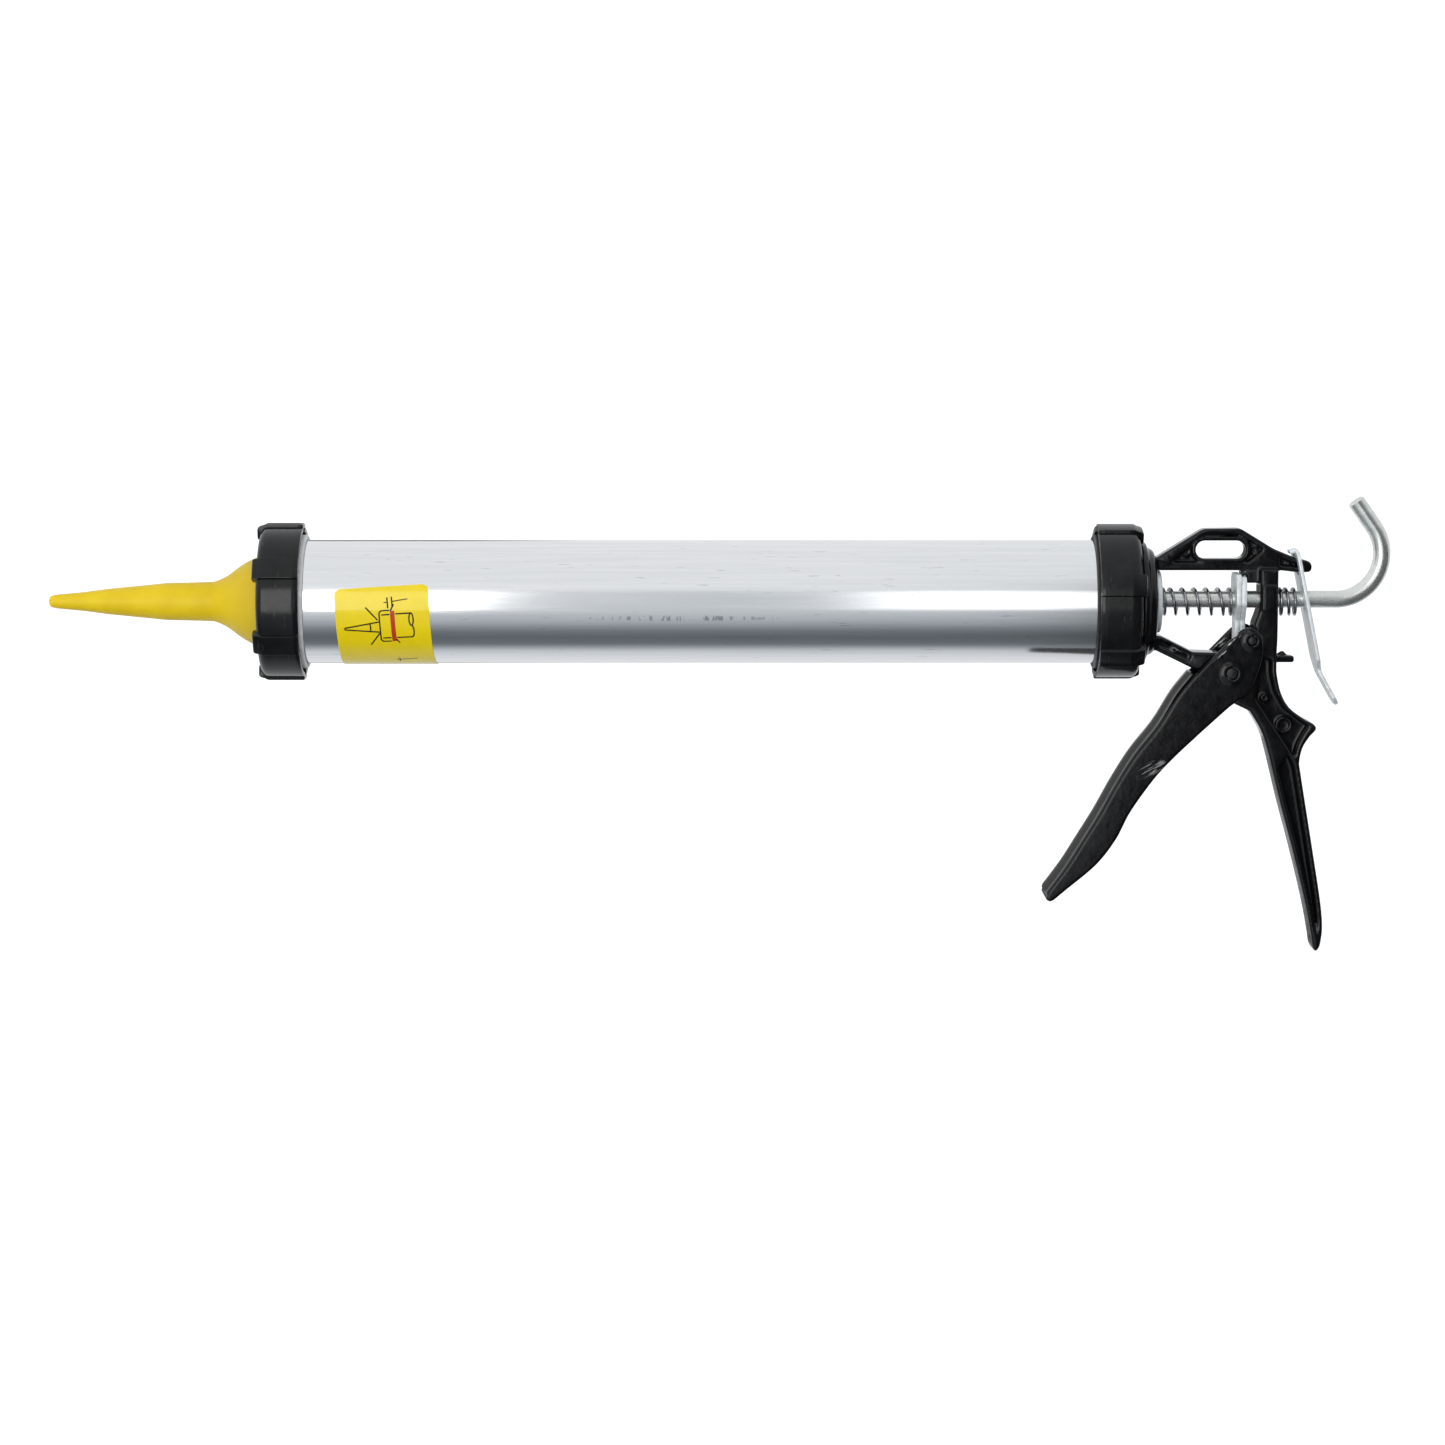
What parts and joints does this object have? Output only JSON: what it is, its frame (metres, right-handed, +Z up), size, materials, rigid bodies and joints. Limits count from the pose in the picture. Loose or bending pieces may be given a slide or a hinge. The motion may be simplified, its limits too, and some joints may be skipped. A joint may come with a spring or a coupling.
{
  "type": "closed-barrel caulking gun",
  "caption": "Hand caulking gun: closed aluminium barrel with screw caps and a cone nozzle, cast grip, trigger and a hooked push rod.",
  "frame": {"origin": "tip of the nozzle, on the barrel's axis", "axes": "+X runs back along the barrel's axis to the rod's hook, +Z up, the trigger and the grip hang towards -Z"},
  "size_m": [0.5776, 0.067, 0.1972],
  "materials": {
    "aluminium_tube": "satin",
    "grey_plastic": "matte",
    "label_film": "gloss",
    "yellow_plastic": "satin",
    "black_plastic": "satin",
    "zinc_plate": "satin",
    "white_plastic": "matte",
    "black_enamel": "gloss",
    "spring_steel": "satin"
  },
  "bodies": {
    "frame": {"frame_casting": "black_enamel", "trigger_pivot_pin": "black_enamel", "spring_seat_washer": "zinc_plate", "drive_spring": "spring_steel", "release_spring": "spring_steel", "cap_retaining_nut": "zinc_plate", "cap_washer": "zinc_plate"},
    "rear_cap": {"rear_cap": "black_plastic"},
    "barrel": {"barrel_tube": "aluminium_tube", "front_thread_collar": "grey_plastic", "rear_thread_collar": "grey_plastic", "label": "label_film"},
    "nozzle": {"nozzle": "yellow_plastic"},
    "front_cap": {"front_cap": "black_plastic"},
    "rod": {"piston_rod": "zinc_plate", "piston_front_nut": "zinc_plate", "piston_front_washer": "zinc_plate", "piston_cup": "white_plastic", "piston_backing_plate": "zinc_plate", "piston_rear_nut": "zinc_plate"},
    "trigger": {"trigger": "black_enamel", "thrust_pin": "black_enamel"},
    "drive_plates": {"drive_plate_front": "zinc_plate", "drive_plate_rear": "zinc_plate"},
    "release_plate": {"release_plate": "zinc_plate"}
  },
  "joints": [
    {"name": "rear_cap_turn", "type": "hinge", "parent": "frame", "child": "rear_cap", "pos_m": [0.4606, 0, 0], "axis": [1, 0, 0], "range_deg": [0, 2160]},
    {"name": "barrel_travel", "type": "slide", "parent": "frame", "child": "barrel", "axis": [-1, 0, 0], "range_m": [0, 0.0181]},
    {"name": "nozzle_travel", "type": "slide", "parent": "barrel", "child": "nozzle", "axis": [-1, 0, 0], "range_m": [0, 0.0181]},
    {"name": "front_cap_turn", "type": "hinge", "parent": "nozzle", "child": "front_cap", "pos_m": [0.1, 0, 0], "axis": [-1, 0, 0], "range_deg": [0, 2160]},
    {"name": "rod_slide", "type": "slide", "parent": "frame", "child": "rod", "axis": [1, 0, 0], "range_m": [0, 0.325]},
    {"name": "trigger_pull", "type": "hinge", "parent": "frame", "child": "trigger", "pos_m": [0.5084, 0, -0.03], "axis": [0, -1, 0], "range_deg": [0, 42], "stiffness_Nm_per_rad": 0.6, "springref_deg": -20.05},
    {"name": "drive_plates_slide", "type": "slide", "parent": "frame", "child": "drive_plates", "axis": [-1, 0, 0], "range_m": [0, 0.0117], "deforming": ["drive_spring"]},
    {"name": "release_tilt", "type": "hinge", "parent": "frame", "child": "release_plate", "pos_m": [0.536, 0, 0.0203], "axis": [0, 1, 0], "range_deg": [0, 10], "stiffness_Nm_per_rad": 0.3, "springref_deg": -17.19, "deforming": ["release_spring"]}
  ],
  "couplings": [
    {"joint": "barrel_travel", "follows": "rear_cap_turn", "m_per_rad": 0.00047746},
    {"joint": "nozzle_travel", "follows": "front_cap_turn", "m_per_rad": 0.00047746},
    {"joint": "drive_plates_slide", "follows": "trigger_pull", "m_per_rad": 0.0158}
  ]
}
